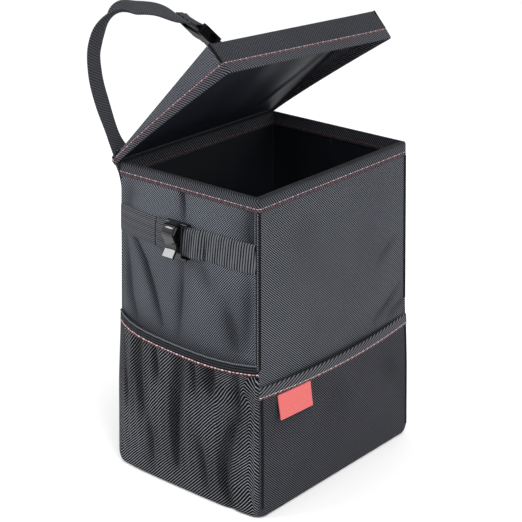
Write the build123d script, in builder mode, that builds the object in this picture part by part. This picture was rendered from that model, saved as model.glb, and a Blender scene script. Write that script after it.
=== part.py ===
"""Soft car trash bin: a flared cloth box with an overlapping flip lid, pockets, webbing, clips and a hang strap.

Millimetres, +Z up, the front panel at -Y and the lid's hinge at +Y.
The origin is the middle of the base, on the surface that the bin stands on.
"""
import os
from math import cos, radians, sin

from build123d import *

os.makedirs("parts", exist_ok=True)

# Body
body_height = 280.0        # to the top of the rim binding
rim_width = 197.0          # cloth to cloth across the gussets, at the rim
rim_depth = 151.0          # cloth to cloth from front to back, at the rim
flare_side = 6.0           # how much further each gusset stands out at the floor
flare_front = 5.0          # the same for the front and back panels

# Layers
cloth = 1.4                # woven cloth with its backing
stiffener = 2.0            # board behind the front, back, base and lid
film = 0.8                 # leak-proof liner
tape = 0.9                 # twill binding tape
rim_tape_height = 12.5     # how far the rim binding reaches down

# Gusset bulge: how far the soft side swells out
belly_height = 100.0
belly_out = 8.0
bulge_under_webbing = 9.0
bulge_over_webbing = 7.5
bulge_margin_low = 9.0     # from the lower of these heights to the webbing
bulge_margin_high = 3.0    # from the webbing to the upper one
bulge_fade = 18.0          # below the rim, where the swelling ends
shoulder = 28.0            # half length of the bulge's flat middle, front to back

# Front pocket
front_pocket_height = 119.5
front_pocket_tape_height = 11.0
front_pocket_tape = 0.8    # how far its binding stands proud of the pocket
front_pocket_bow = 6.5     # how far its top edge stands off in the middle
pocket_runs = 8            # straight runs across the pocket

# Sewn-on tab
tab_width = 43.0
tab_height = 22.0
tab_thickness = 1.0
tab_centre = -60.5
tab_gap = 0.4              # between the tab's ends and the pocket

# Mesh pockets
mesh_thickness = 1.0
mesh_pocket_height = 141.0
mesh_pocket_sag = 2.0      # how far the elastic edge droops in the middle
mesh_pocket_tape_height = 10.0
mesh_pocket_tape = 0.8     # how far the elastic tape stands proud of the mesh, each side
mesh_pocket_depth = 8.0    # room between the gusset and the mesh at the elastic edge
mesh_foot_depth = 2.0      # the same at the floor
mesh_gathers = 10
gather_depth = 1.1

# Side webbing and its clips
webbing_width = 25.0
webbing_thickness = 1.4
webbing_drop = 48.5        # from the rim down to its centre line
webbing_standoff = 2.8     # room behind the loop for the clip's back plate
loop_half = 24.0           # half length of the straight loop between the tacks
clip_width = 24.0
clip_back = 1.6
clip_front = 2.0
clip_bar = 2.0
clip_plate_width = 14.0    # front plate, between the wider bars above and below it
clip_clearance = 0.35      # between the clip and the webbing
tongue_width = 12.0
tongue_thickness = 2.0
tongue_top = 6.8           # how far its top run stands off the slider's face
tongue_belly = (9.4, 7.5)  # stand-off and height from the clip's middle, of each turn below it
tongue_waist_high = (3.9, -2.5)
tongue_waist_low = (3.9, -6.0)
tongue_lip = (8.0, -13.0)
tongue_radii = (3.5, 4.0, 6.0, 4.0)

# Lid
lid_open_angle = 44.5      # as it stands
lid_wall_height = 28.0     # front wall, over all
lid_back_drop = 2.0        # how far the side walls reach down at the hinge
lid_cloth = 1.2
lid_tape = 0.6
lid_tape_height = 12.0
lid_gap = 0.3              # between the closed lid and the rim
lid_clearance = 1.2        # between the lid's walls and the rim

# Hinge tape
hinge_tape_height = 14.6
hinge_tape_inset = 4.5     # from the rim's corners
hinge_tape_thickness = 0.8
hinge_tape_gap = 0.4       # below the rim's top

# Hang strap
strap_width = 25.0
strap_thickness = 1.5
strap_sewn_inset = 14.5    # from the gussets at the rim in to the strap's middle
strap_sewn_drop = 44.0     # from the rim down to the strap's end
strap_sewn_length = 22.0
# Places that each half passes, from its own seam's middle, the rim's back face and the rim's top
strap_left_route = (
    (-2.0, 8.1, 2.0), (-6.0, 20.6, 32.0), (-8.0, 31.6, 65.0), (-3.0, 38.6, 92.0),
    (16.0, 42.1, 106.0), (42.0, 42.6, 111.0), (72.0, 42.6, 107.0), (102.0, 41.6, 97.0),
)
strap_right_route = ((-6.0, 37.1, 44.0), (3.0, 28.6, 24.0), (4.0, 15.6, 2.0))

# Side-release buckle: where the socket's end lies from the right strap's seam and the rim's back, and its lie
buckle_place = (-46.0, 40.6, 86.0)
buckle_axis = (0.75, -0.03, -0.66)
buckle_across = (0.0, 0.95, 0.3)
buckle_width = 32.0
buckle_thickness = 10.0
buckle_corner = 3.0
buckle_bar = 3.0           # bar that the strap is wrapped round
buckle_bar_thickness = 4.0
buckle_slot = 5.0          # slot that the strap goes through
slot_side = 3.0            # frame at each end of a slot
socket_wall = 2.0
cavity_depth = 17.5
side_window = 9.0          # opening for the prongs' press tabs
plug_thickness = 7.0
plug_gap = 0.3             # between the plug and the socket when they are locked
prong_length = 16.5
prong_width = 5.0
prong_clearance = 0.4

# Values that follow from these
wall_top = body_height - tape
floor_top = cloth + stiffener
rim_half_x = rim_width / 2 + tape
rim_half_y = rim_depth / 2 + tape
webbing_middle = body_height - webbing_drop
webbing_low = webbing_middle - webbing_width / 2
webbing_high = webbing_middle + webbing_width / 2
bulge_profile = (
    (0.0, 0.0),
    (belly_height, belly_out),
    (webbing_low - bulge_margin_low, bulge_under_webbing),
    (webbing_high + bulge_margin_high, bulge_over_webbing),
    (body_height - bulge_fade, 0.0),
)
strap_sewn_x = rim_width / 2 - strap_sewn_inset
strap_sewn_low = body_height - strap_sewn_drop
strap_sewn_high = strap_sewn_low + strap_sewn_length


def half_width(z):
    """Half the width over the gussets' cloth at their corners, at height z."""
    return rim_width / 2 + flare_side * (1 - z / body_height)


def half_depth(z):
    """Half the depth over the front and back panels' cloth, at height z."""
    return rim_depth / 2 + flare_front * (1 - z / body_height)


def bulge(z):
    """How far the middle of a gusset swells out at height z, straight between the listed heights."""
    for (low, low_out), (high, high_out) in zip(bulge_profile, bulge_profile[1:]):
        if z <= high:
            return low_out + (high_out - low_out) * (z - low) / (high - low)
    return bulge_profile[-1][1]


def gusset_end(z):
    """Depth at which a gusset's cloth meets the front and back panels."""
    return half_depth(z) - cloth


def gusset_face(y, z):
    """Outward distance of a gusset's outer face at depth y and height z."""
    reach = (gusset_end(z) - abs(y)) / (gusset_end(z) - shoulder)
    return half_width(z) + bulge(z) * min(1.0, reach)


def stack(outline, heights, mode=Mode.ADD):
    """Joins the plan outlines at the given heights with straight sides.

    The sections are plain faces, because a sketch would drop the corners that lie on a straight stretch
    and the outlines would no longer match corner to corner.
    """
    sections = [Face(Wire.make_polygon([(x, y, z) for x, y in outline(z)])) for z in heights]
    loft(sections=sections, ruled=True, mode=mode)


def block(inset_x, inset_y, heights, mode=Mode.ADD):
    """Flared block that lies the given insets inside the cloth's outer faces."""
    def outline(z):
        x = half_width(z) - inset_x
        y = half_depth(z) - inset_y
        return [(-x, -y), (x, -y), (x, y), (-x, y)]
    stack(outline, heights, mode)


def save(piece, name):
    """Labels a finished piece and writes it."""
    piece.part.label = name
    export_step(piece.part, f"parts/{name}.step")


# Front and back panels, with the boards behind them
def upright_slab(side, inset, thickness, low):
    """Slab across the front (side -1) or the back (side 1), set in from the cloth's faces."""
    def outline(z):
        outer = side * (half_depth(z) - inset)
        inner = outer - side * thickness
        reach = half_width(z) - inset
        return [(-reach, outer), (reach, outer), (reach, inner), (-reach, inner)]
    stack(outline, (low, wall_top))


for side, place in ((-1, "front"), (1, "back")):
    with BuildPart() as panel:
        upright_slab(side, 0.0, cloth, 0.0)
    save(panel, f"{place}_panel")

    with BuildPart() as board:
        upright_slab(side, cloth, stiffener, cloth)
    save(board, f"{place}_board")

# Base: cloth outside, board inside
with BuildPart() as base_panel:
    block(cloth, cloth, (0.0, cloth))
save(base_panel, "base_panel")

with BuildPart() as base_board:
    block(cloth, cloth + stiffener, (cloth, floor_top))
save(base_board, "base_board")

# Liner: a tub of film inside the panels and boards
with BuildPart() as liner:
    block(cloth, cloth + stiffener, (floor_top, wall_top))
    block(cloth + film, cloth + stiffener + film, (floor_top + film, wall_top), Mode.SUBTRACT)
save(liner, "liner")

# Rim binding: tape folded over the top edge of all the layers
rim_low = body_height - rim_tape_height
with BuildPart() as rim_binding:
    block(-tape, -tape, (rim_low, body_height))
    block(0.0, 0.0, (rim_low, wall_top), Mode.SUBTRACT)
    block(cloth + film, cloth + stiffener + film, (rim_low, body_height))
    block(cloth + film + tape, cloth + stiffener + film + tape, (rim_low, body_height), Mode.SUBTRACT)
save(rim_binding, "rim_binding")

# Front pocket: a panel that stands off the front towards its open top
pocket_cloth_top = front_pocket_height - front_pocket_tape_height


def pocket_face(x, z):
    """Distance of the pocket's inner face in front of the middle plane, at width x and height z."""
    share = x / half_width(z)
    return half_depth(z) + front_pocket_bow * z / front_pocket_height * (1 - share ** 2)


def pocket_outline(thickness, z):
    """Plan outline of a layer of the pocket that is thickness thick."""
    widths = [half_width(z) * (2 * i / pocket_runs - 1) for i in range(pocket_runs + 1)]
    inner = [(x, -pocket_face(x, z)) for x in widths]
    outer = [(x, -pocket_face(x, z) - thickness) for x in reversed(widths)]
    return inner + outer


with BuildPart() as front_pocket:
    stack(lambda z: pocket_outline(cloth, z), (0.0, pocket_cloth_top))
save(front_pocket, "front_pocket")

with BuildPart() as front_pocket_binding:
    stack(lambda z: pocket_outline(cloth + front_pocket_tape, z), (pocket_cloth_top, front_pocket_height))
save(front_pocket_binding, "front_pocket_binding")


def tab_outline(z):
    """Plan outline of the tab that hangs on the pocket from its binding."""
    ends = (tab_centre - tab_width / 2, tab_centre + tab_width / 2)
    back = [(x, -pocket_face(x, z) - cloth - tab_gap) for x in ends]
    front = [(x, y - tab_thickness) for x, y in reversed(back)]
    return back + front


with BuildPart() as label_tab:
    stack(tab_outline, (pocket_cloth_top - tab_height, pocket_cloth_top))
save(label_tab, "label_tab")

# Soft sides: gussets, mesh pockets with elastic tape, and webbing
gusset_heights = [z for z, _ in bulge_profile] + [wall_top]


def thick_line(side, points, thickness):
    """Plan outline of a layer: points give its inner face as (outward distance, depth)."""
    inner = [(side * out, y) for out, y in points]
    outer = [(side * (out + thickness), y) for out, y in reversed(points)]
    return inner + outer


def gusset_line(z):
    """Inner face of a gusset's cloth at height z."""
    depths = (-gusset_end(z), -shoulder, shoulder, gusset_end(z))
    return [(gusset_face(y, z) - cloth, y) for y in depths]


def mesh_line(z, ripple):
    """Inner face of the gathered mesh at height z: the gusset's face, the pocket's room and the ripples."""
    count = 2 * mesh_gathers
    room = mesh_foot_depth + (mesh_pocket_depth - mesh_foot_depth) * z / mesh_pocket_height
    points = []
    for i in range(count + 1):
        share = 2 * i / count - 1
        y = share * gusset_end(z)
        wave = ripple * (-1) ** i * (1 - share ** 2)
        points.append((gusset_face(y, z) + room * (1 - share ** 4) + wave, y))
    return points


def webbing_line(z):
    """Inner face of the webbing: on the gusset at both ends, and a straight loop between the tacks."""
    loop = gusset_face(0.0, z) + webbing_standoff
    half = [(loop, loop_half), (gusset_face(shoulder, z), shoulder), (half_width(z), gusset_end(z))]
    return [(out, -y) for out, y in reversed(half)] + half


def below_droop(lift, reach):
    """Sketch outline, seen from the side, of all that lies under the drooping edge moved up by lift."""
    end = mesh_pocket_height + lift
    edge = ThreePointArc((-reach, end), (0, end - mesh_pocket_sag), (reach, end))
    Polyline(edge @ 1, (reach, -end), (-reach, -end), edge @ 0)


for side, place in ((-1, "left"), (1, "right")):
    with BuildPart() as gusset:
        stack(lambda z: thick_line(side, gusset_line(z), cloth), gusset_heights)
    save(gusset, f"{place}_gusset")

    with BuildPart() as mesh_pocket:
        stack(lambda z: thick_line(side, mesh_line(z, gather_depth), mesh_thickness),
              (0.0, belly_height, mesh_pocket_height))
        with BuildSketch(Plane.YZ):
            with BuildLine():
                below_droop(-mesh_pocket_tape_height, half_depth(0))
            make_face()
        extrude(amount=2 * rim_width, both=True, mode=Mode.INTERSECT)
    save(mesh_pocket, f"{place}_mesh_pocket")

    with BuildPart() as pocket_binding:
        stack(lambda z: thick_line(side, [(out - mesh_pocket_tape * (1 - (y / gusset_end(z)) ** 2), y)
                                          for out, y in mesh_line(z, 0.0)],
                                   mesh_thickness + 2 * mesh_pocket_tape),
              (belly_height, mesh_pocket_height))
        with BuildSketch(Plane.YZ):
            with BuildLine():
                below_droop(0.0, half_depth(0))
            make_face()
        extrude(amount=2 * rim_width, both=True, mode=Mode.INTERSECT)
        with BuildSketch(Plane.YZ):
            with BuildLine():
                below_droop(-mesh_pocket_tape_height, half_depth(0))
            make_face()
        extrude(amount=2 * rim_width, both=True, mode=Mode.SUBTRACT)
    save(pocket_binding, f"{place}_pocket_binding")

    with BuildPart() as webbing:
        stack(lambda z: thick_line(side, webbing_line(z), webbing_thickness), (webbing_low, webbing_high))
    save(webbing, f"{place}_webbing")

# Clips: a slider frame round the webbing loop, with a sprung tongue in front
loop_lean = (gusset_face(0.0, webbing_high) - gusset_face(0.0, webbing_low)) / webbing_width
window_half = webbing_width / 2 + 2 * clip_clearance
window_front = webbing_thickness + clip_clearance
plate_face = window_front + clip_front
tongue_root = window_half + clip_bar - tongue_thickness / 2
tongue_points = [(plate_face - tongue_thickness / 2, tongue_root), (plate_face + tongue_top, tongue_root)]
tongue_points += [(plate_face + out, up)
                  for out, up in (tongue_belly, tongue_waist_high, tongue_waist_low, tongue_lip)]

for side, place in ((-1, "left"), (1, "right")):
    loop_middle = gusset_face(0.0, webbing_middle) + webbing_standoff
    clip_plane = Plane(
        origin=(side * loop_middle, 0, webbing_middle), x_dir=(side, 0, -loop_lean), z_dir=(0, -side, 0))
    with BuildPart() as clip:
        with BuildSketch(clip_plane):
            with BuildLine():
                Polyline(
                    (-clip_clearance - clip_back, -window_half - clip_bar),
                    (plate_face, -window_half - clip_bar),
                    (plate_face, window_half + clip_bar),
                    (-clip_clearance - clip_back, window_half + clip_bar),
                    close=True)
            make_face()
            with BuildLine():
                Polyline(
                    (-clip_clearance, -window_half), (window_front, -window_half),
                    (window_front, window_half), (-clip_clearance, window_half), close=True)
            make_face(mode=Mode.SUBTRACT)
        extrude(amount=clip_width / 2, both=True)
        with BuildSketch(clip_plane):
            with Locations((window_front + clip_front, 0)):
                Rectangle(2 * clip_front, 2 * window_half)
        extrude(amount=clip_width / 2, both=True, mode=Mode.SUBTRACT)
        with BuildSketch(clip_plane):
            with Locations((window_front + clip_front / 2, 0)):
                Rectangle(clip_front, 2 * window_half)
        extrude(amount=clip_plate_width / 2, both=True)
        with BuildSketch(clip_plane):
            with BuildLine():
                FilletPolyline(*tongue_points, radius=list(tongue_radii))
            trace(line_width=tongue_thickness)
        extrude(amount=tongue_width / 2, both=True)
    save(clip, f"{place}_clip")

# Lid: a boarded top with a front wall and tapering side walls, standing open on its hinge line
opened = radians(lid_open_angle)
hinge = (0, rim_half_y, body_height + lid_gap)
lid_plane = Plane(origin=hinge, x_dir=(1, 0, 0), z_dir=(0, sin(opened), cos(opened)))
lid_side = Plane(origin=hinge, x_dir=(0, cos(opened), -sin(opened)), z_dir=(1, 0, 0))
lid_half_in = rim_half_x + lid_clearance + lid_tape
lid_half_out = lid_half_in + lid_cloth
lid_long_in = 2 * rim_half_y + lid_clearance + lid_tape
lid_long_out = lid_long_in + lid_cloth
lid_under_top = film + stiffener
lid_stack = lid_under_top + lid_cloth
lid_front_drop = lid_wall_height - lid_stack
lid_taper = (lid_front_drop - lid_back_drop) / lid_long_in


def lid_plate(half_x, length, low, thickness):
    """Flat layer of the lid's top, from the hinge line forward."""
    with BuildSketch(lid_plane.offset(low)) as layer:
        with Locations((0, -length / 2)):
            Rectangle(2 * half_x, length)
    extrude(layer.sketch, amount=thickness)


def lid_profile(points, half_x, mode=Mode.ADD):
    """Outline seen from the lid's side, carried across it."""
    with BuildSketch(lid_side) as outline:
        with BuildLine():
            Polyline(*points, close=True)
        make_face()
    extrude(outline.sketch, amount=half_x, both=True, mode=mode)


with BuildPart() as lid_top:
    lid_plate(lid_half_out, lid_long_out, lid_under_top, lid_cloth)
save(lid_top, "lid_top")

with BuildPart() as lid_board:
    lid_plate(lid_half_in, lid_long_in, film, stiffener)
save(lid_board, "lid_board")

with BuildPart() as lid_lining:
    lid_plate(lid_half_in, lid_long_in, 0.0, film)
save(lid_lining, "lid_lining")

with BuildPart() as lid_front_wall:
    lid_profile([(-lid_long_out, -lid_front_drop), (-lid_long_in, -lid_front_drop),
                 (-lid_long_in, lid_under_top), (-lid_long_out, lid_under_top)], lid_half_out)
save(lid_front_wall, "lid_front_wall")

for side, place in ((-1, "left"), (1, "right")):
    with BuildPart() as lid_wall:
        with BuildSketch(lid_side.offset(side * lid_half_in)):
            with BuildLine():
                Polyline((0, -lid_back_drop), (-lid_long_in, -lid_front_drop),
                         (-lid_long_in, lid_under_top), (0, lid_under_top), close=True)
            make_face()
        extrude(amount=side * lid_cloth)
    save(lid_wall, f"lid_{place}_wall")

# Lid binding: tape folded over the lower edge of the walls, outside and inside
outer_stop = (lid_stack - lid_tape_height + lid_back_drop) / lid_taper
inner_stop = (lid_back_drop - lid_tape_height) / lid_taper
tape_under = lid_front_drop + lid_tape
tape_over = lid_tape_height - lid_front_drop
with BuildPart() as lid_binding:
    lid_profile([(0, -lid_back_drop - lid_tape), (-lid_long_in, -tape_under),
                 (-lid_long_out - lid_tape, -tape_under), (-lid_long_out - lid_tape, tape_over),
                 (-lid_long_in, tape_over), (outer_stop, lid_stack), (0, lid_stack)],
                lid_half_out + lid_tape)
    lid_profile([(0, -lid_back_drop), (-lid_long_in, -lid_front_drop), (-lid_long_out, -lid_front_drop),
                 (-lid_long_out, 2 * lid_stack), (0, 2 * lid_stack)], lid_half_out, Mode.SUBTRACT)
    lid_profile([(0, -lid_back_drop - lid_tape), (-lid_long_in, -tape_under), (-lid_long_in, tape_over),
                 (inner_stop, 0), (0, 0)], lid_half_in)
    lid_profile([(0, -lid_wall_height), (lid_tape - lid_long_in, -lid_wall_height),
                 (lid_tape - lid_long_in, lid_wall_height), (0, lid_wall_height)],
                lid_half_in - lid_tape, Mode.SUBTRACT)
save(lid_binding, "lid_binding")

# Hinge tape on the back of the rim binding, under the lid's back edge
hinge_tape_top = body_height - hinge_tape_gap


def hinge_tape_outline(z):
    """Plan outline of the tape at height z."""
    reach = rim_half_x - hinge_tape_inset
    inner = half_depth(z) + tape
    outer = inner + hinge_tape_thickness
    return [(-reach, inner), (reach, inner), (reach, outer), (-reach, outer)]


with BuildPart() as lid_hinge_tape:
    stack(hinge_tape_outline, (hinge_tape_top - hinge_tape_height, hinge_tape_top))
save(lid_hinge_tape, "lid_hinge_tape")



def strap_point(side, across_by, back_by, up_by):
    """Point given from the sewn strap's middle on one side, the rim's back face and the rim's top."""
    return Vector(side * strap_sewn_x + across_by, rim_half_y + back_by, body_height + up_by)


# Buckle: a socket that the plug's prongs slide into, each with a slot and a bar for the strap
buckle_start = strap_point(1, *buckle_place)
along = Vector(buckle_axis).normalized()
across = (Vector(buckle_across) - along * along.dot(Vector(buckle_across))).normalized()
buckle_face = Plane(origin=buckle_start, x_dir=across, z_dir=across.cross(along))
socket_length = buckle_bar + buckle_slot + socket_wall + cavity_depth
plug_start = socket_length + plug_gap
plug_length = socket_wall + buckle_slot + buckle_bar
slot_width = buckle_width - 2 * slot_side
cavity_width = buckle_width - 2 * socket_wall
cavity_thickness = buckle_thickness - 2 * socket_wall
prong_middle = (cavity_width - prong_width) / 2 - prong_clearance


def buckle_slab(width, start, length, thickness, middle=0.0, corner=0.0, mode=Mode.ADD):
    """Slab in the buckle's plane, from start along the strap."""
    with BuildSketch(buckle_face) as outline:
        with Locations((middle, start + length / 2)):
            if corner:
                RectangleRounded(width, length, corner)
            else:
                Rectangle(width, length)
    extrude(outline.sketch, amount=thickness / 2, both=True, mode=mode)


with BuildPart() as buckle_socket:
    buckle_slab(buckle_width, 0.0, socket_length, buckle_thickness, corner=buckle_corner)
    buckle_slab(slot_width, 0.0, buckle_bar + buckle_slot, buckle_thickness, mode=Mode.SUBTRACT)
    buckle_slab(slot_width, 0.0, buckle_bar, buckle_bar_thickness)
    buckle_slab(cavity_width, socket_length - cavity_depth, cavity_depth, cavity_thickness, mode=Mode.SUBTRACT)
    buckle_slab(buckle_width, socket_length - cavity_depth + socket_wall, side_window, cavity_thickness,
                mode=Mode.SUBTRACT)
save(buckle_socket, "buckle_socket")

with BuildPart() as buckle_plug:
    buckle_slab(buckle_width, plug_start, plug_length, plug_thickness, corner=buckle_corner)
    buckle_slab(slot_width, plug_start + socket_wall, buckle_slot + buckle_bar, plug_thickness, mode=Mode.SUBTRACT)
    buckle_slab(slot_width, plug_start + socket_wall + buckle_slot, buckle_bar, buckle_bar_thickness)
    for middle in (-prong_middle, 0.0, prong_middle):
        buckle_slab(prong_width, plug_start - prong_length, prong_length + plug_gap,
                    cavity_thickness - 2 * prong_clearance, middle=middle)
save(buckle_plug, "buckle_plug")

# Hang strap: two runs of webbing that twist from the back panel up to the buckle
panel_lean = Vector(0, -flare_front / body_height, 1).normalized()
panel_out = Vector(0, 1, flare_front / body_height).normalized()
plug_end = buckle_start + along * (plug_start + plug_length)


def sewn_point(x, z):
    """Middle of the strap where it lies on the back panel."""
    return Vector(x, half_depth(z), z) + panel_out * (strap_thickness / 2)


def strap(stations):
    """Webbing through stations of (middle, direction across, direction along)."""
    sections = []
    for middle, wide, forward in stations:
        forward = Vector(forward).normalized()
        wide = Vector(wide)
        wide = wide - forward * forward.dot(wide)
        with BuildSketch(Plane(origin=middle, x_dir=wide, z_dir=forward)) as section:
            Rectangle(strap_width, strap_thickness)
        sections.append(section.sketch)
    loft(sections=sections, ruled=True)


# The lie of the webbing at each of those places: its direction across, then its direction along
strap_left_lie = (
    ((0.98, 0.15, 0), (-0.1, 0.38, 0.92)),
    ((0.93, 0.36, 0), (-0.1, 0.36, 0.93)),
    ((0.92, 0.38, 0), (0.05, 0.28, 0.96)),
    ((0.85, 0.5, 0.1), (0.4, 0.2, 0.9)),
    ((0.4, 0.9, 0.2), (0.9, 0.1, 0.4)),
    ((0.05, 0.95, 0.3), (1, 0, 0.02)),
    ((0, 0.95, 0.3), (0.97, -0.01, -0.22)),
    ((0, 0.95, 0.3), (0.9, -0.03, -0.43)),
)
strap_right_lie = (
    ((0.1, 0.95, 0.2), (0.55, -0.25, -0.8)),
    ((0.4, 0.9, 0), (0.25, -0.5, -0.83)),
    ((0.88, 0.45, 0), (-0.1, -0.5, -0.86)),
)
flat = (1, 0, 0)

with BuildPart() as strap_left:
    stations = [(sewn_point(-strap_sewn_x, z), flat, panel_lean) for z in (strap_sewn_low, strap_sewn_high)]
    stations += [(strap_point(-1, *place), *lie) for place, lie in zip(strap_left_route, strap_left_lie)]
    strap(stations + [(buckle_start, across, along)])
save(strap_left, "strap_left")

with BuildPart() as strap_right:
    stations = [(plug_end, across, along)]
    stations += [(strap_point(1, *place), *lie) for place, lie in zip(strap_right_route, strap_right_lie)]
    strap(stations + [(sewn_point(strap_sewn_x, z), flat, -panel_lean) for z in (strap_sewn_high, strap_sewn_low)])
save(strap_right, "strap_right")
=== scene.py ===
"""Looks of a soft car trash bin, made round the solids of its frame.

Woven cloth on boards, twill tape, gathered mesh, webbing and moulded fittings. The functions
work in millimetres in the part's own frame; piece() turns their points into metres.
"""

import bmesh
import bpy
import numpy as np
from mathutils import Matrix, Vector


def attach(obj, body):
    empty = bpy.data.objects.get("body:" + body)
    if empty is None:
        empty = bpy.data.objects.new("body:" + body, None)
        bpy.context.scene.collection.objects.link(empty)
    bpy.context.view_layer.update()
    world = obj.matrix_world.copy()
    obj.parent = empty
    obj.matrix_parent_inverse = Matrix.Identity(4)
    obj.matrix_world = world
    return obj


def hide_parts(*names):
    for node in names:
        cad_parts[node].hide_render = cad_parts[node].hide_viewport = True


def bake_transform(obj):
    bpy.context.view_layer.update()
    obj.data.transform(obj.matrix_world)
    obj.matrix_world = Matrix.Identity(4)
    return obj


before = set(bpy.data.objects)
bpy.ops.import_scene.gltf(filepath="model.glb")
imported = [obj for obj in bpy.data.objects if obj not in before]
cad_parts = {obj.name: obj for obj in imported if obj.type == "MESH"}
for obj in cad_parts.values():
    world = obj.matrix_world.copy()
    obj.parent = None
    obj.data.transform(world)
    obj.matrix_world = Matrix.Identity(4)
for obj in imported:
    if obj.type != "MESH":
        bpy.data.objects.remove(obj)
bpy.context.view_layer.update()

# ---------------------------------------------------------------- meshes from grids of points

METRES = 0.001  # in a millimetre
MERGE = 1e-7  # points nearer than this, in metres, become one
CRISP = np.radians(40)  # edges that turn more than this stay crisp


def run_length(path):
    """Length measured along a path of points, from its start."""
    return np.concatenate([[0.0], np.cumsum(np.linalg.norm(np.diff(path, axis=0), axis=1))])


def lengths(grid, axis):
    """Length measured on a grid: along its rows (axis 1, from their middle) or columns (axis 0)."""
    steps = np.linalg.norm(np.diff(grid, axis=axis, prepend=grid.take([0], axis)), axis=-1)
    run = np.cumsum(steps, axis=axis)
    return run if axis == 0 else run - run[:, [grid.shape[1] // 2]]


def quads(index):
    """Four-cornered faces over a grid of point numbers."""
    corners = [index[:-1, :-1], index[:-1, 1:], index[1:, 1:], index[1:, :-1]]
    return np.stack(corners, -1).reshape(-1, 4)


def skin(grid, wrap_rows=False, wrap_columns=False):
    """(points, faces, cloth coordinates in mm) of a grid, joined end to end where asked."""
    index = np.arange(grid.shape[0] * grid.shape[1]).reshape(grid.shape[:2])
    full = grid
    if wrap_rows:
        index = np.concatenate([index, index[:1]], 0)
        full = np.concatenate([full, full[:1]], 0)
    if wrap_columns:
        index = np.concatenate([index, index[:, :1]], 1)
        full = np.concatenate([full, full[:, :1]], 1)
    spots = np.stack([lengths(full, 1), lengths(full, 0)], -1).reshape(-1, 2)
    own = quads(np.arange(index.size).reshape(index.shape))
    return grid.reshape(-1, 3), quads(index).tolist(), spots[own].reshape(-1, 2)


def tube(grid):
    """A ring (rows) carried along a path (columns), capped at both ends."""
    points, faces, spots = skin(grid, wrap_rows=True)
    rows, cols = grid.shape[:2]
    ring = np.arange(rows) * cols
    ends = [ring[::-1].tolist(), (ring + cols - 1).tolist()]
    caps = np.stack([np.zeros(rows), lengths(grid, 0)[:, 0]], -1)
    return points, faces + ends, np.concatenate([spots, caps, caps])


def slab(outer, inner, wrap=False, pole=False):
    """Two grids of one shape joined along their edges; a pole is a first row that is one point."""
    points, faces, spots = skin(outer, wrap_columns=wrap)
    under, back, _ = skin(inner, wrap_columns=wrap)
    count = len(points)
    index = np.arange(count).reshape(outer.shape[:2])
    if wrap:
        loops = [np.append(index[-1], index[-1, 0])[::-1]]
        loops += [] if pole else [np.append(index[0], index[0, 0])]
    else:
        loops = [np.concatenate([index[0], index[1:, -1], index[-1, -2::-1], index[-2::-1, 0]])]
    edge = np.concatenate([
        np.stack([loop[1:], loop[:-1], loop[:-1] + count, loop[1:] + count], -1) for loop in loops])
    turned = [[k + count for k in face[::-1]] for face in back]
    under_spots = spots.reshape(-1, 4, 2)[:, ::-1].reshape(-1, 2)
    at = dict(zip(np.ravel(faces).tolist(), spots.tolist()))
    edge_spots = np.array([at[k % count] for k in edge.ravel().tolist()])
    corners = np.concatenate([spots, under_spots, edge_spots])
    return np.concatenate([points, under]), faces + turned + edge.tolist(), corners


def joined(*shapes):
    """Several shapes as one."""
    starts = np.cumsum([0] + [len(shape[0]) for shape in shapes])
    faces = [[k + start for k in face]
             for shape, start in zip(shapes, starts) for face in shape[1]]
    return np.concatenate([s[0] for s in shapes]), faces, np.concatenate([s[2] for s in shapes])


def piece(name, shape, material, body="bin", stands_for=(), painted_shade=None):
    """A closed mesh in the part's frame, riding its body unless it is of the lid, right strap or
    hinge.

    Its cloth coordinates in mm are its UV map, and its painted shade (0 to 1) is an attribute.
    """
    points, faces, spots = shape
    mesh = bpy.data.meshes.new(name)
    mesh.from_pydata((points * METRES).tolist(), [], faces)
    mesh.uv_layers.new(name="cloth_mm").data.foreach_set("uv", np.ravel(spots))
    if painted_shade is not None:
        # the two faces of a sheet share its painted shade
        depth = np.resize(np.clip(painted_shade, 0, 1), len(points))
        mesh.attributes.new("painted_shade", "FLOAT", "POINT").data.foreach_set("value", depth)
    work = bmesh.new()
    work.from_mesh(mesh)
    bmesh.ops.remove_doubles(work, verts=work.verts, dist=MERGE)
    bmesh.ops.recalc_face_normals(work, faces=work.faces)
    work.to_mesh(mesh)
    work.free()
    mesh.polygons.foreach_set("use_smooth", np.ones(len(mesh.polygons), bool))
    mesh.set_sharp_from_angle(angle=CRISP)
    mesh.materials.append(material)
    made = bpy.data.objects.new(name, mesh)
    bpy.context.scene.collection.objects.link(made)
    if body == "lid":
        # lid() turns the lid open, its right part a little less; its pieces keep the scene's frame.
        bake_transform(made)
    elif body == "right strap":
        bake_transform(made)
    elif body == "hinge":
        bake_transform(made)
    else:
        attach(made, body)
    if stands_for:
        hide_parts(*stands_for)
    return made


# ---------------------------------------------------------------- curves and folds


def ease(t):
    """Smooth step from 0 to 1."""
    t = np.clip(t, 0, 1)
    return t * t * (3 - 2 * t)


def spline(stations, count):
    """Smooth curve through the stations, as count points evenly spaced in length.

    Between two stations it is a cubic that keeps their places and their slopes.
    """
    stations = np.array(stations, float)
    chord = run_length(stations[:, :3])
    slopes = np.gradient(stations, chord, axis=0)
    at = np.linspace(0, chord[-1], count * 4)
    k = np.clip(np.searchsorted(chord, at, side="right") - 1, 0, len(chord) - 2)
    step = np.diff(chord)[k][:, None]
    t = (at - chord[k])[:, None] / step
    curve = stations[k] * (2 * t**3 - 3 * t**2 + 1) + stations[k + 1] * (3 * t**2 - 2 * t**3)
    curve += step * (slopes[k] * (t**3 - 2 * t**2 + t) + slopes[k + 1] * (t**3 - t**2))
    run = run_length(curve[:, :3])
    even = np.linspace(0, run[-1], count)
    return np.stack([np.interp(even, run, column) for column in curve.T], -1)


def unit(vectors):
    """Vectors of length one."""
    return vectors / np.linalg.norm(vectors, axis=-1, keepdims=True)


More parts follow.
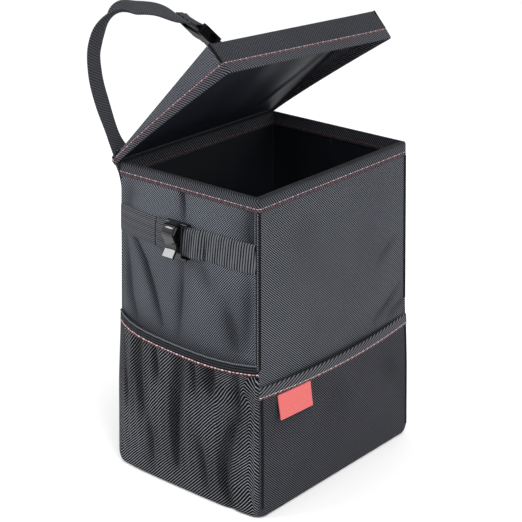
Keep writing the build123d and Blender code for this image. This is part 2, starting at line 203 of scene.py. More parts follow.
def ribbon(path, lie, width, thickness):
    """A flat band with half-round edges carried along a path, its width along lie.

    Its outline is two straight faces and two half circles as wide as it is thick.
    """
    tangent = unit(np.gradient(path, axis=0))
    lie = unit(lie - tangent * (lie * tangent).sum(-1, keepdims=True))
    face = np.cross(tangent, lie)
    bend = np.radians(np.linspace(-90, 90, 7))
    straight = width - thickness
    across = np.linspace(-0.5, 0.5, 7)[1:-1] * straight
    edge = straight / 2 + np.cos(bend) * thickness / 2
    top = np.ones(len(across))
    a = np.concatenate([across, edge[::-1], across[::-1], -edge])
    b = np.concatenate([top, np.sin(bend[::-1]), -top, np.sin(bend)]) * thickness / 2
    return tube(path[None] + a[:, None, None] * lie[None] + b[:, None, None] * face[None])


def crease(a, z, route, width, depth):
    """A crease: a bell-shaped trough of that width and depth along a line of (along, height)
    points.

    It fades at its ends as a root of the sine of the share of the line that is passed.
    """
    a, z = np.broadcast_arrays(a, z)
    away, share = np.full(a.shape, 1e9), np.zeros(a.shape)
    for k, (start, end) in enumerate(zip(route[:-1], route[1:])):
        step = np.subtract(end, start)
        t = np.clip(((a - start[0]) * step[0] + (z - start[1]) * step[1]) / (step @ step), 0, 1)
        far = np.hypot(a - start[0] - t * step[0], z - start[1] - t * step[1])
        share = np.where(far < away, (k + t) / (len(route) - 1), share)
        away = np.minimum(far, away)
    fade = np.sin(np.pi * (0.06 + 0.88 * share)) ** 0.6
    return -depth * fade * np.exp(-((away / width) ** 2))


def creases(a, z, table, spread=1.0):
    """All the folds of a table of (route, width, depth), added; spread widens them."""
    return sum(crease(a, z, route, width * spread, depth) for route, width, depth in table)


def shaded(a, z, table, share):
    """Painted shade in the folds of a table: dark along their lines, fading well past their width.
    """
    return -share * (0.65 * creases(a, z, table) + 0.5 * creases(a, z, table, 2.3))


def stitches(path, normal, pitch=3.3, length=2.5, radius=0.42):
    """A row of thread: a capsule of four six-sided rings every pitch mm along a path."""
    run = run_length(path)
    middle = np.arange(pitch / 2, run[-1], pitch)
    at = [np.stack([np.interp(middle + by, run, column) for column in path.T], -1)
          for by in (-0.5, 0, 0.5)]
    tangent = unit(at[2] - at[0])
    up = np.stack([np.interp(middle, run, column) for column in normal.T], -1)
    up = unit(up - tangent * (up * tangent).sum(-1, keepdims=True))
    side = np.cross(tangent, up)
    turn = np.radians(np.arange(6) * 60)[None, None, :, None]
    reach = (np.array([-0.5, -0.3, 0.3, 0.5]) * length)[None, :, None, None]
    thick = (np.array([0.5, 1.0, 1.0, 0.5]) * radius)[None, :, None, None]
    centre, ahead, out, aside = [v[:, None, None, :] for v in (at[1], tangent, up, side)]
    points = centre + reach * ahead + thick * (np.cos(turn) * out + np.sin(turn) * aside)
    ring = np.arange(24).reshape(4, 6)
    one = quads(np.concatenate([ring, ring[:, :1]], 1)).tolist()
    one += [[0, 1, 2, 3], [0, 3, 4, 5], [21, 20, 19, 18], [23, 22, 21, 18]]  # its two ends
    starts = ring.size * np.arange(len(middle))[:, None, None]
    faces = (np.array(one)[None] + starts).reshape(-1, 4)
    spots = np.repeat(middle, len(one) * 4)
    return points.reshape(-1, 3), faces.tolist(), np.stack([spots, spots * 0], -1)


# ---------------------------------------------------------------- the bin's walls

HEIGHT, RIM_X, RIM_Y, FLARE_X, FLARE_Y = 280.0, 98.5, 75.5, 6.0, 5.0
CLOTH, BOARDED = 1.4, 2.8  # thickness of a panel: cloth alone, and cloth with its board
CORNER = 2.5  # radius of the upright corners
FLOOR_CORNER, FLOOR_TURN = 8.0, 11.0  # what that radius gains at the floor, and over what height
HEM = 3.0  # radius where the walls turn in at the floor
SIDES = {  # of each side: the way along it and the way out of it
    "front": ((1, 0), (0, -1)), "right": ((0, 1), (1, 0)),
    "back": ((-1, 0), (0, 1)), "left": ((0, -1), (-1, 0)),
}
HANDS = (("left", 1), ("right", -1))  # the two gussets, and the sign that mirrors them
ALONG_X, ALONG_Y, ALONG_Z = np.eye(3)


def half_width(z):
    """Half the bin's width: it grows evenly from the rim down."""
    return RIM_X + FLARE_X * (1 - z / HEIGHT)


def half_depth(z):
    """Half the bin's depth: it grows evenly from the rim down."""
    return RIM_Y + FLARE_Y * (1 - z / HEIGHT)


def corner_radius(z):
    """The upright corners are tight, and turn wide at the floor where the base is sewn in."""
    return CORNER + FLOOR_CORNER * np.clip(1 - z / FLOOR_TURN, 0, 1) ** 2


def columns(count, arc=6):
    """One side's columns: share of its flat from -1 to 1, and turn round half of each corner."""
    bend = np.radians(np.linspace(0, 45, arc))
    flat = np.concatenate([-np.ones(arc - 1), np.linspace(-1, 1, count), np.ones(arc - 1)])
    return flat, np.concatenate([-bend[:0:-1], np.zeros(count), bend[1:]])


def heights(top, count):
    """Rows from the floor to top: close together where the wall turns under, then evenly spaced."""
    parts = [np.linspace(0, 3, 6), np.linspace(4, 15, 8), np.linspace(17, top, count)]
    return np.concatenate(parts)[:, None]


def wall(side, z, flat, turn, lift_x=0.0, lift_y=0.0, swell=0.0):
    """Points of one side: straight along its flat and round its corners by turn.

    The lifts move the bin's whole outline out in x and in y, and swell moves this side alone.
    """
    along, out = SIDES[side]
    tuck = HEM - np.sqrt(HEM**2 - (HEM - np.clip(z, 0, HEM)) ** 2)
    lift_x, lift_y = lift_x - tuck, lift_y - tuck
    radius = np.maximum(corner_radius(z) + np.minimum(lift_x, lift_y), 0.8)
    wide, deep = half_width(z) + lift_x - radius, half_depth(z) + lift_y - radius
    reach, stand = (wide, deep) if out[0] == 0 else (deep, wide)
    a = flat * reach + (radius + swell) * np.sin(turn)
    o = stand + (radius + swell) * np.cos(turn)
    return np.stack([a * along[0] + o * out[0], a * along[1] + o * out[1], z + 0 * a], -1)


def around(z, lift_x, lift_y, count=60):
    """The four sides in one loop."""
    flat, turn = columns(count)
    sides = [wall(side, z, flat[:-1], turn[:-1], lift_x, lift_y) for side in SIDES]
    return np.concatenate(sides, axis=1)


def smooth_table(table, blur):
    """A table of (place, value) read at every mm and averaged over blur mm."""
    place = np.arange(-40.0, 341.0)
    value = np.pad(np.interp(place, *np.transpose(table)), blur // 2, mode="edge")
    return place, np.convolve(value, np.ones(blur) / blur, mode="valid")


BELLY = smooth_table([(0, 0), (100, 8), (210, 9), (245, 7.6), (261, 0.9), (280, 0)], 17)
GUSSET_SEAM = 14  # a gusset comes up to its full swell over 1/14 of its half width
GUSSET_FOLDS = (
    # (along towards the front, height) points, width and depth
    (((-7, 277), (-4, 262), (2, 244)), 2.2, 3.6),
    (((3, 218), (1, 190), (-1, 165), (-3, 143)), 3.0, 2.4),
    (((-60, 224), (-42, 201), (-32, 178), (-22, 150)), 2.8, 4.2),
    (((-68, 216), (-63, 165), (-54, 144)), 4.2, 3.0),
    (((20, 217), (32, 194)), 5.0, 1.8),
    (((46, 184), (52, 162), (57, 143)), 5.5, 3.0),
    (((71, 272), (72, 250), (72, 236)), 8.0, 5.0),
    (((67, 215), (67, 190), (66, 150)), 4.0, 2.2),
    (((-62, 262), (-66, 240)), 6.0, 2.0),
)


def belly_out(z, share):
    """How far a gusset bellies out at a height, less towards its seams (share 1)."""
    return np.interp(z, *BELLY) * (1 - share**2.4)


def gusset_swell(a, z, reach):
    """How far a gusset stands out of its plane: a belly between the seams, less its folds."""
    share = np.clip(np.abs(a) / reach, 0, 1)
    out = belly_out(z, share) + creases(a, z, GUSSET_FOLDS)
    return out * ease((1 - share) * GUSSET_SEAM) * ease((276 - z) / 12)


MESH_TOP = 141.0
MESH_RISE, MESH_TILT = 1.6, 3.8  # the elastic's middle lies so far above it, its back end higher
MESH_FOLDS = (
    (((-44, 135), (-46, 105), (-43, 60)), 5.0, 4.4),
    (((6, 133), (3, 104), (-3, 66), (-7, 24)), 4.4, 5.8),
    (((37, 133), (37, 108)), 4.2, 5.4),
    (((61, 88), (52, 63), (48, 43), (47, 24), (53, 3)), 4.4, 5.0),
    (((-24, 132), (-21, 100)), 3.4, 2.8),
    (((20, 132), (22, 100)), 3.0, 2.4),
    (((-70, 128), (-66, 60)), 3.4, 2.6),
    (((60, 132), (64, 90)), 3.0, 2.6),
    (((20, 66), (28, 10)), 5.0, 2.4),
    (((-34, 56), (-38, 8)), 5.0, 2.4),
)


def mesh_stand(z, share):
    """How far the mesh stands out: on the gusset's belly, and further off it towards its top."""
    return belly_out(z, share) + (2.0 + 6.0 * z / MESH_TOP) * (1 - share**4)


def mesh_swell(a, z, reach):
    """The mesh stands off the gusset, falls in between its gathers and has a fine ripple."""
    share = np.clip(np.abs(a) / reach, 0, 1)
    out = mesh_stand(z, share) + creases(a, z, MESH_FOLDS)
    ripple = 0.5 * np.sin(a * 0.62 + 1.5 * np.sin(z * 0.035)) * ease(z / 30)
    return (out + ripple) * ease((1 - share) * 10) + 1.0 + 1.6 * ease((MESH_TOP - z) / 70)


POCKET_TOP, MOUTH_SAG = 119.5, 2.4
POCKET_FOLDS = (
    (((-70, 20), (-40, 34)), 7.0, 0.8),
    (((60, 90), (86, 60)), 8.0, 1.2),
    (((-20, 95), (10, 50)), 12.0, 0.9),
)


def pocket_swell(a, z, share):
    """The front pocket lies on the panel and bows forward towards its mouth."""
    out = 6.0 * np.clip(z / POCKET_TOP, 0, 1.05) ** 1.3 * (1 - share**2)
    out = out + creases(a, z, POCKET_FOLDS) * (1 - share**4)
    return out + 1.3 + 1.5 * ease((POCKET_TOP + 12 - z) / 70)


FRONT_FOLDS = (
    (((52, 126), (72, 136), (91, 149)), 3.0, 1.8),
    (((74, 124), (101, 134)), 3.0, 1.6),
    (((57, 180), (84, 197)), 4.0, 1.2),
    (((-60, 240), (-20, 232)), 12.0, 0.5),
    (((10, 160), (40, 210)), 16.0, 0.5),
)


def front_swell(a, z, share):
    """The front is held flat by its board: a faint bow with a few shallow wrinkles."""
    out = 0.8 * np.sin(np.pi * np.clip(z / HEIGHT, 0, 1)) * (1 - share**2)
    out = out + creases(a, z, FRONT_FOLDS)
    return out * ease((1 - np.abs(share)) * 12)


# ---------------------------------------------------------------- the lid

HINGE_Y, HINGE_Z = 76.4, 280.3
LID_HALF, LID_LONG, LID_STACK, LID_MIDDLE = 102.4, 155.8, 4.0, 78.0
LID_BEND = 4.0  # radius of the lid's front corners
LID_OPEN, LID_SKEW = 44.5, 0.0206  # degrees open in its middle, and degrees less for each mm right
SKEW_FROM, SKEW_RUN = 1480.0, 1582.0  # where the lid's blend in lid() starts, and how far it runs
WALL_BACK, WALL_GROWS, WALL_LONG = 2.0, 22.0, 154.6  # lid walls: depth at the hinge, gain, run
LEFT_CORNER, RIGHT_CORNER = 73, 168  # columns of lid_outline() in the middle of its two bends


def lid(x, long, high):
    """A point of the open lid: x across, long from the hinge, high above the lining.

    The lid is turned about the hinge by an angle that falls from 46.6 degrees at its left edge
    to 42.4 at its right.
    """
    t = np.clip((SKEW_FROM - x) / SKEW_RUN, 0, 1)
    blended = LID_OPEN * t * t * (3 - 2 * t)
    angle = np.radians(np.maximum(LID_OPEN - LID_SKEW * x, blended))
    y = HINGE_Y - long * np.cos(angle) + high * np.sin(angle)
    z = HINGE_Z + long * np.sin(angle) + high * np.cos(angle)
    return np.stack(np.broadcast_arrays(x, y, z), -1)


def lid_outline():
    """Columns round the lid's walls from the hinge's left end to its right: x, long and way out."""
    straight = np.linspace(-3.0, LID_LONG - LID_BEND, 70)
    bend = np.radians(np.linspace(0, 90, 8))[1:-1]
    across = np.linspace(LID_BEND - LID_HALF, LID_HALF - LID_BEND, 90)
    none, ones, still = 0 * straight, 0 * straight + 1, 0 * across
    x = np.concatenate([none - LID_HALF, LID_BEND - LID_HALF - LID_BEND * np.cos(bend), across,
                        LID_HALF - LID_BEND + LID_BEND * np.sin(bend), none + LID_HALF])
    long = np.concatenate([straight, LID_LONG - LID_BEND + LID_BEND * np.sin(bend),
                           still + LID_LONG, LID_LONG - LID_BEND + LID_BEND * np.cos(bend),
                           straight[::-1]])
    nx = np.concatenate([-ones, -np.cos(bend), still, np.sin(bend), ones])
    nl = np.concatenate([none, np.sin(bend), still + 1, np.cos(bend), none])
    return x, long, nx, nl


def lid_low(long):
    """Height of the walls' lower edge: they taper from the front to the hinge."""
    return -WALL_BACK - WALL_GROWS * np.clip(long / WALL_LONG, 0, 1) ** 1.2


def lid_wall(lift, high):
    """Points of the lid's walls: lift out of the cloth's face, high above the lining."""
    x, long, nx, nl = lid_outline()
    return lid(x + nx * lift, long + nl * lift, high)


def rounded(low, high, count, radius):
    """Places from low to high with rounded ends: (place, drop below the face)."""
    bend = np.radians(np.linspace(0, 90, 5))
    start, drop = radius * (1 - np.cos(bend)), radius * (1 - np.sin(bend))
    inside = np.linspace(low + radius, high - radius, count)[1:-1]
    return (np.concatenate([low + start, inside, high - start[::-1]]),
            np.concatenate([drop, 0 * inside, drop[::-1]]))


# ---------------------------------------------------------------- materials

LINT_SCALE = 0.55  # for each mm: tufts of lint about 2 mm across
TONE_SCALE = 0.015  # for each mm: the cloth's tone drifts over about 65 mm
# painted shade: the share of the colour taken away where the painted shade is full
FOLD_SHADE = 0.62  # how much of the threads' tone the deepest fold takes away


def linear(code):
    """An sRGB hex code as linear red, green, blue and alpha."""
    c = np.array([int(code[k:k + 2], 16) for k in (1, 3, 5)]) / 255
    return (*np.where(c <= 0.04045, c / 12.92, ((c + 0.055) / 1.055) ** 2.4).tolist(), 1.0)


def node(tree, kind, settings, inputs, out=0):
    """Adds a node with its settings, links or sets its inputs and returns one of its outputs."""
    made = tree.nodes.new("ShaderNode" + kind)
    for name, value in settings.items():
        setattr(made, name, value)
    for socket, value in inputs.items():
        if isinstance(value, bpy.types.NodeSocket):
            tree.links.new(value, made.inputs[socket])
        else:
            made.inputs[socket].default_value = value
    return made.outputs[out] if len(made.outputs) else made


def bare(name):
    """A material with nothing in it yet, and its node tree."""
    made = bpy.data.materials.new(name)
    made.use_nodes = True
    made.node_tree.nodes.clear()
    return made, made.node_tree


def threads(tree, angle, pitch):
    """A wave from -1 to 1 across threads at that angle to the cloth's length, pitch mm apart."""
    spot = node(tree, "UVMap", {"uv_map": "cloth_mm"}, {})
    turned = node(tree, "Mapping", {}, {
        "Vector": spot, "Rotation": (0, 0, -np.radians(angle)), "Scale": [2 * np.pi / pitch] * 3})
    across = node(tree, "SeparateXYZ", {}, {0: turned}, "Y")
    return node(tree, "Math", {"operation": "SINE"}, {0: across})


def woven(name, dark, light, lays, relief, roughness=0.8, sheen=0.02, lint=0.3, bite=1.9, gap=0.0):
    """Woven cloth: threads light on their crowns and dark between them, with lint and a slow drift.

    lays are (angle, pitch in mm, share) of its threads; bite is their contrast; gap darkens them.
    """
    made, tree = bare(name)
    add = {"operation": "MULTIPLY_ADD"}
    wave = 0.0
    for angle, pitch, share in lays:
        wave = node(tree, "Math", add, {0: threads(tree, angle, pitch), 1: share, 2: wave})
    spot = node(tree, "UVMap", {"uv_map": "cloth_mm"}, {})
    fluff = node(tree, "TexNoise", {}, {"Vector": spot, "Scale": LINT_SCALE, "Detail": 3.0})
    tone = node(tree, "TexNoise", {}, {"Vector": spot, "Scale": TONE_SCALE, "Detail": 2.0})
    level = 0.5 - lint / 2
    crown = node(tree, "Math", add, {0: wave, 1: bite * level, 2: level})
    crown = node(tree, "Math", add, {0: fluff, 1: lint, 2: crown})
    crown = node(tree, "Math", {"operation": "SUBTRACT", "use_clamp": True}, {0: crown, 1: gap})
    shade = node(tree, "Math", add, {0: tone, 1: 0.5, 2: 0.75})
    # painted shade: the colour is darkened in the folds and the other shaded places
    painted_shade = node(tree, "Attribute", {"attribute_name": "painted_shade"}, {}, "Fac")
    shade = node(tree, "Math", add, {0: painted_shade, 1: -FOLD_SHADE, 2: shade})
    crown = node(tree, "Math", {"operation": "MULTIPLY", "use_clamp": True}, {0: crown, 1: shade})
    tones = {0: crown, 6: linear(dark), 7: linear(light)}
    colour = node(tree, "Mix", {"data_type": "RGBA"}, tones, 2)
    height = node(tree, "Math", add, {0: fluff, 1: 0.3, 2: wave})
    normal = node(tree, "Bump", {}, {
        "Strength": 0.6, "Distance": relief * METRES, "Height": height})
    surface = node(tree, "BsdfPrincipled", {}, {
        "Base Color": colour, "Roughness": roughness, "Normal": normal, "Sheen Weight": sheen,
        "Sheen Roughness": 0.5, "Specular IOR Level": 0.08})
    node(tree, "OutputMaterial", {}, {"Surface": surface})
    return made


def smooth(name, dark, light, scale, roughness, relief, specular=0.5):
    """A film or moulding: two close tones in a soft cloudy pattern (scale per metre)."""
    made, tree = bare(name)
    spot = node(tree, "TexCoord", {}, {}, "Object")
    cloud = node(tree, "TexNoise", {}, {"Vector": spot, "Scale": scale, "Detail": 4.0})
    tones = {0: cloud, 6: linear(dark), 7: linear(light)}
    colour = node(tree, "Mix", {"data_type": "RGBA"}, tones, 2)
    gloss = node(tree, "MapRange", {}, {0: cloud, 3: roughness - 0.06, 4: roughness + 0.06})
    normal = node(tree, "Bump", {}, {
        "Strength": 0.5, "Distance": relief * METRES, "Height": cloud})
    surface = node(tree, "BsdfPrincipled", {}, {
        "Base Color": colour, "Roughness": gloss, "Normal": normal,
        "Specular IOR Level": specular})
    node(tree, "OutputMaterial", {}, {"Surface": surface})
    return made


# Oxford polyester: dull dark cloth whose slanting threads show as a fine grain. They lie about 1 mm
# apart and are drawn at 1.5 mm and more.
oxford = woven("oxford polyester", "#020203", "#70747d",
               ((52, 1.5, 1.0), (-40, 2.2, 0.3)), 0.25, bite=3.0, gap=0.3)
front_weave = woven("oxford polyester, front", "#020203", "#6f727a",
                    ((-42, 1.57, 1.0), (48, 2.2, 0.3)), 0.25, bite=3.0, gap=0.55)
pocket_cloth = woven("oxford polyester, pocket", "#020203", "#55565e",
                     ((-45, 1.6, 1.0), (45, 2.2, 0.3)), 0.25, bite=3.0, gap=0.55)
lid_weave = woven("oxford polyester, lid", "#08080a", "#414349",
                  ((33, 1.7, 1.0), (-57, 2.4, 0.6)), 0.25, lint=0.6, bite=1.3)
lid_side = woven("oxford polyester, lid sides", "#020203", "#5e6169",
                 ((-71, 2.0, 1.0), (0, 1.8, 0.6)), 0.25, lint=0.6, bite=1.5)
# Twill tape: tight slanting ribs that catch the light along every edge. They lie 2 mm apart and
# are drawn at 2.6 mm on the pocket.
twill = woven("twill tape", "#020203", "#54565e", ((-52, 2.0, 1.0),), 0.4, gap=0.18)
twill_up = woven("twill tape, pocket", "#020203", "#64656b", ((28, 2.6, 1.0),), 0.4, gap=0.14)
twill_lid = woven("twill tape, lid", "#020203", "#585a61", ((50, 2.1, 1.0),), 0.4, gap=0.12)
# Warp-knit mesh: pale slanting ribs over dark holes, drawn 2.1 mm apart instead of 1.7
mesh_cloth = woven("warp-knit mesh", "#010102", "#d2d6e2", ((45, 2.1, 1.0),), 0.6,
                   lint=0.4, bite=2.6, gap=0.92)
# Elastic tape: darker than the cloth, ribbed lengthwise; its rolled edge is painted pale, a
# highlight
elastic = woven("elastic tape", "#040405", "#2c2e33", ((0, 2.2, 1.0),), 0.25)
elastic_edge_highlight = woven("elastic tape, rolled edge, painted highlight", "#2c2e32", "#6e7075", ((90, 1.6, 1.0),), 0.1)
# Polypropylene webbing: upright ribs 2.4 mm apart, and the hang strap's finer, slightly shiny weave
webbing = woven("polypropylene webbing", "#030405", "#63656b", ((86, 2.4, 1.0),), 0.3,
                lint=0.45, gap=0.06)
strap_weave = woven("polypropylene webbing, fine", "#050506", "#484a50",
                    ((-70, 2.3, 1.0), (70, 2.3, 0.9)), 0.2, bite=1.0)
# Woven satin: the one clear colour on the bin, even and soft
coral = woven("woven satin, coral", "#b75150", "#d06d6b", ((0, 1.8, 1.0),), 0.1,
              bite=0.7, roughness=0.6, sheen=0.1)
# Sewing thread: small pale and red dashes along every tape, duller on rim and lid, and black ones
# on the webbing and in the lid's seams; the black also paints the shade strips at the front corners
ply = ((60, 0.8, 1.0),)
pale_thread = woven("sewing thread, pale coral", "#8d6766", "#ead3d2", ply, 0.1, lint=0.7)
dull_thread = woven("sewing thread, dull coral", "#5f484c", "#c6adb1", ply, 0.1, lint=0.7)
red_thread = woven("sewing thread, red", "#402326", "#844a4e", ply, 0.1, lint=0.7)
black_thread_and_shade = woven("sewing thread, black, and painted shade", "#030304", "#121316", ply, 0.1)
# Coated film: a near-black inside with a soft cloudy gleam. Under the lid it is painted paler and
# bluer for the light thrown onto it, and in the bin darker for the shade inside
film = smooth("coated lining film", "#07080c", "#10131a", 9.0, 0.6, 0.3, 0.25)
lid_lining = smooth("coated lining film, lid, painted light", "#11141b", "#20242e", 9.0, 0.58, 0.3, 0.22)
# Acetal: moulded black, glossy on the clips so that its edges glint, duller on the buckle
acetal = smooth("black acetal", "#050506", "#0b0b0d", 60.0, 0.14, 0.01)
dull_acetal = smooth("black acetal, buckle", "#040405", "#0b0b0d", 60.0, 0.5, 0.01, 0.05)

# ---------------------------------------------------------------- body panels

tall = heights(268.5, 150)
flat, turn = columns(150)
reach = half_width(tall) - corner_radius(tall)
mouth = POCKET_TOP - MOUTH_SAG * (1 - flat**2)
# painted shade: the front is darkened inside the pocket's mouth
pocket_mouth_shade = ease((mouth + 0.8 - tall) / 4)  # dark from just below the pocket's mouth down
face = front_swell(flat * reach, tall, flat)
piece("front_cloth",
      slab(wall("front", tall, flat, turn, swell=face),
           wall("front", tall, flat, turn, -BOARDED, -BOARDED)),
      front_weave, stands_for=("front_panel", "front_board"),
      painted_shade=shaded(flat * reach, tall, FRONT_FOLDS, 0.35) + 1.3 * pocket_mouth_shade)
face = 0.6 * front_swell(-flat * reach, HEIGHT - tall, flat)
piece("back_cloth",
      slab(wall("back", tall, flat, turn, swell=face),
           wall("back", tall, flat, turn, -BOARDED, -BOARDED)),
      oxford, stands_for=("back_panel", "back_board"))

reach = half_depth(tall) - corner_radius(tall)
for side, sign in HANDS:
    along = sign * flat * reach
    face = gusset_swell(along, tall, reach)
    # painted shade: dark in the folds, and the gusset darkened below the webbing
    piece(side + "_gusset_cloth",
          slab(wall(side, tall, flat, turn, swell=face),
               wall(side, tall, flat, turn, -CLOTH, -CLOTH, swell=np.maximum(face, 0))),
          oxford, stands_for=(side + "_gusset",),
          painted_shade=shaded(along, tall, GUSSET_FOLDS, 0.28) + 0.2 * ease((222 - tall) / 40))

# Base and liner: floors that are drawn out from one point to the walls, in shares of the way
DRAWN = np.array([0, 0.3, 0.6, 0.85, 1.0])[:, None, None]
LINER_WRINKLE = 0.03  # share of the way to the middle that the liner's wrinkles fall in
liner_z = np.linspace(10, 274, 70)[:, None]


def drawn_floor(z, lift_x, lift_y, level):
    """Rows from one point out to the loop round the bin at height z, all laid flat at a level."""
    loop = around(np.array([[z]]), lift_x, lift_y)
    return np.concatenate([loop] * len(DRAWN)) * DRAWN * [1, 1, 0] + [0, 0, level]


def liner_face(lift_x, lift_y, level):
    """The tub's rows: its floor, then its walls with soft wrinkles between floor and rim."""
    walls = around(liner_z, lift_x, lift_y)
    bearing = np.arctan2(walls[..., 1], walls[..., 0])
    wave = np.sin(7 * bearing + 0.03 * liner_z) * np.sin(11 * bearing - 0.02 * liner_z + 1)
    fall = LINER_WRINKLE * (0.5 + 0.5 * wave)
    pull = 1 - fall * ease((liner_z - 10) / 60) * ease((262 - liner_z) / 50)
    walls = walls * np.stack([pull, pull, np.ones_like(pull)], -1)
    return np.concatenate([drawn_floor(14.0, lift_x, lift_y, level), walls])


piece("base_cloth",
      slab(drawn_floor(0.0, 0.3, 0.3, 0.2), drawn_floor(0.0, -0.6, -0.6, 3.2),
           wrap=True, pole=True),
      oxford, stands_for=("base_panel", "base_board"))
piece("liner_film",
      slab(liner_face(-1.6, -3.5, 3.5), liner_face(-2.2, -4.2, 4.2), wrap=True, pole=True),
      film, stands_for=("liner",))

# Rim binding: tape folded over the top edge. Its outline from the outside over to the inside is
# (height, lift in x, lift in y, painted shade), the shade painted darkest where it folds over.
RIM = np.array([
    (267.5, 0.1, 0.1, 0), (268.2, 0.8, 0.8, 0), (274, 0.9, 0.9, 0), (278, 0.9, 0.9, 0.3),
    (279.6, 0.2, 0.2, 1), (280, -1.4, -2.4, 1), (279.6, -2.6, -4.4, 1), (278, -3.1, -5.1, 0.4),
    (274, -3.1, -5.1, 0.2), (268.2, -3.0, -5.0, 0.2), (267.5, -2.3, -4.3, 0.2),
    (267.5, -1.2, -2.0, 0.2),
])
rim_high, rim_out, rim_deep, rim_painted_shade = RIM.T[:, :, None]
rim_loop = around(rim_high, rim_out, rim_deep, 120)
piece("rim_tape", skin(rim_loop, True, True), twill, stands_for=("rim_binding",),
      painted_shade=rim_painted_shade + 0 * rim_loop[..., 0])


def level_row(z, lift_x, lift_y, out=1.0):
    """A path round the bin at one height, and the way out of its face, or in where out is -1."""
    path = around(np.array([[z]]), lift_x, lift_y)[0]
    return path, around(np.array([[z]]), lift_x + out, lift_y + out)[0] - path


def closed(rows):
    """Rows of points that end where they start."""
    return [np.concatenate([row, row[:1]]) for row in rows]


outer_red = stitches(*closed(level_row(269.2, 0.9, 0.9)), radius=0.3)
inner_red = stitches(*level_row(270.5, -3.2, -5.2, -1.0), radius=0.3)
piece("rim_stitching", stitches(*closed(level_row(271.2, 0.92, 0.92)), radius=0.36),
      dull_thread)
piece("rim_stitching_red", joined(outer_red, inner_red), red_thread)


def upright(side, z, lift):
    """A path up the middle of one side, lifted off its face."""
    return wall(side, z, 0 * z, 0 * z, swell=lift)


# Corner seams: two fine pipings on a dark strip of painted shade beside each front corner, and a
# strip of painted shade on the front that runs on down the pocket
welt_z, beside_z = np.linspace(134, 267.6, 90), np.linspace(9, 108, 60)
pipings, shade_strips = [], []
for side, sign in HANDS:
    for inset, width, thick, lift, kept in ((0.8, 1.4, 1.4, 0.2, pipings),
                                            (3.4, 1.6, 1.6, 0.2, pipings),
                                            (2.4, 6.0, 1.0, -0.4, shade_strips)):
        path = upright(side, welt_z, lift)
        path[:, 1] = inset - half_depth(welt_z)
        kept.append(ribbon(path, ALONG_Y, width, thick))
    on_pocket = pocket_swell(half_width(beside_z), beside_z, 0.98) - 0.2
    for z, lift, width in ((welt_z, -0.2, 2.2), (beside_z, on_pocket, 3.0)):
        path = upright("front", z, lift)
        path[:, 0] = -sign * (half_width(z) - 2.0)
        shade_strips.append(ribbon(path, ALONG_X, width, 0.8))
piece("corner_seams", joined(*pipings), oxford)
piece("corner_shade_strips", joined(*shade_strips), black_thread_and_shade)

# ---------------------------------------------------------------- pockets

low = heights(POCKET_TOP - 4, 60)
reach = half_width(low) - corner_radius(low)
face = pocket_swell(flat * reach, low, flat)
piece("pocket_cloth",
      slab(wall("front", low, flat, turn, swell=face),
           wall("front", low, flat, turn, swell=face - 1.2)),
      pocket_cloth, stands_for=("front_pocket",),
      painted_shade=shaded(flat * reach, low, POCKET_FOLDS, 0.25))

# Pocket tape: its outline from below, over the mouth and down inside is (height, lift)
BAND = np.array([(-11.2, -0.1), (-10.9, 0.7), (-6, 0.85), (-1.9, 0.75), (-1.0, 0.1),
                 (-1.0, -1.3), (-1.9, -2.0), (-6, -2.0), (-10.9, -2.0), (-11.2, -1.2)])
band_z, band_out = BAND.T[:, :, None]
band_z = POCKET_TOP + band_z - MOUTH_SAG * (1 - flat**2)
band_face = pocket_swell(flat * half_width(band_z), band_z, flat) + band_out
piece("pocket_tape", tube(wall("front", band_z, flat, turn, swell=band_face)), twill_up,
      stands_for=("front_pocket_binding",))


def front_row(z, lift):
    """A path across the front pocket, sagging as its mouth does, and the way out of its face."""
    height = z - MOUTH_SAG * (1 - flat**2)
    out = pocket_swell(flat * half_width(z), height, flat) + lift
    path = wall("front", height, flat, turn, swell=out)
    return path, wall("front", height, flat, turn, swell=out + 1) - path


piece("pocket_stitching", stitches(*front_row(110.6, 0.78), radius=0.32), pale_thread)
piece("pocket_stitching_red", stitches(*front_row(109.0, 0.7), radius=0.26), red_thread)

# Label tab: bare satin, sewn in under the band; its lower edge stands off
TAB_X, TAB_Z, TAB_HALF, TAB_RISE, TAB_THICK = -63.4, 96.2, 19.8, 10.7, 0.9
along_tab, up_tab = np.meshgrid(np.linspace(-TAB_HALF, TAB_HALF, 40),
                                np.linspace(-TAB_RISE, TAB_RISE, 24))
tab_x = TAB_X + along_tab
tab_z = TAB_Z + up_tab - 0.005 * along_tab
tab_off = 0.95 + 2.9 * np.clip(0.5 - up_tab / (2 * TAB_RISE), 0, 1) ** 1.2
tab_y = -half_depth(tab_z) - pocket_swell(tab_x, tab_z, tab_x / half_width(tab_z))
tab_faces = [np.stack([tab_x, tab_y - tab_off - by, tab_z], -1)
             for by in (TAB_THICK / 2, -TAB_THICK / 2)]
piece("satin_tab", slab(*tab_faces), coral, stands_for=("label_tab",))

# Elastic tape: its outline from below, over the mesh's top and down inside is (height, lift)
TAPE = np.array([(-9.9, 0.1), (-9.6, 1.0), (-5, 1.2), (-0.9, 1.0), (0.0, 0.3),
                 (0.0, -1.0), (-0.9, -1.5), (-5, -1.6), (-9.6, -1.4), (-9.9, -0.9)])
tape_z, tape_out = TAPE.T[:, :, None]
net = heights(MESH_TOP - 4, 90)
net_flat, net_turn = columns(260)
net_reach = half_depth(net) - corner_radius(net)


def mesh_tape(side, sign, z, lift):
    """Points along the elastic tape: it falls towards the front and stands off with the mesh."""
    z = z + MESH_TOP + MESH_RISE - MESH_TILT * sign * net_flat
    a = sign * net_flat * (half_depth(z) - corner_radius(z))
    out = mesh_stand(z, np.abs(net_flat)) + 1.0
    out = out + 0.15 * np.sin(a * 0.55)
    flatter = 1 - 0.8 * np.abs(net_turn) / np.radians(45)
    return wall(side, z, net_flat, net_turn, swell=(out + lift) * flatter)


def tape_row(side, sign, z, lift):
    """One line of points along the elastic tape."""
    return mesh_tape(side, sign, np.full((1, 1), z), lift)[0]


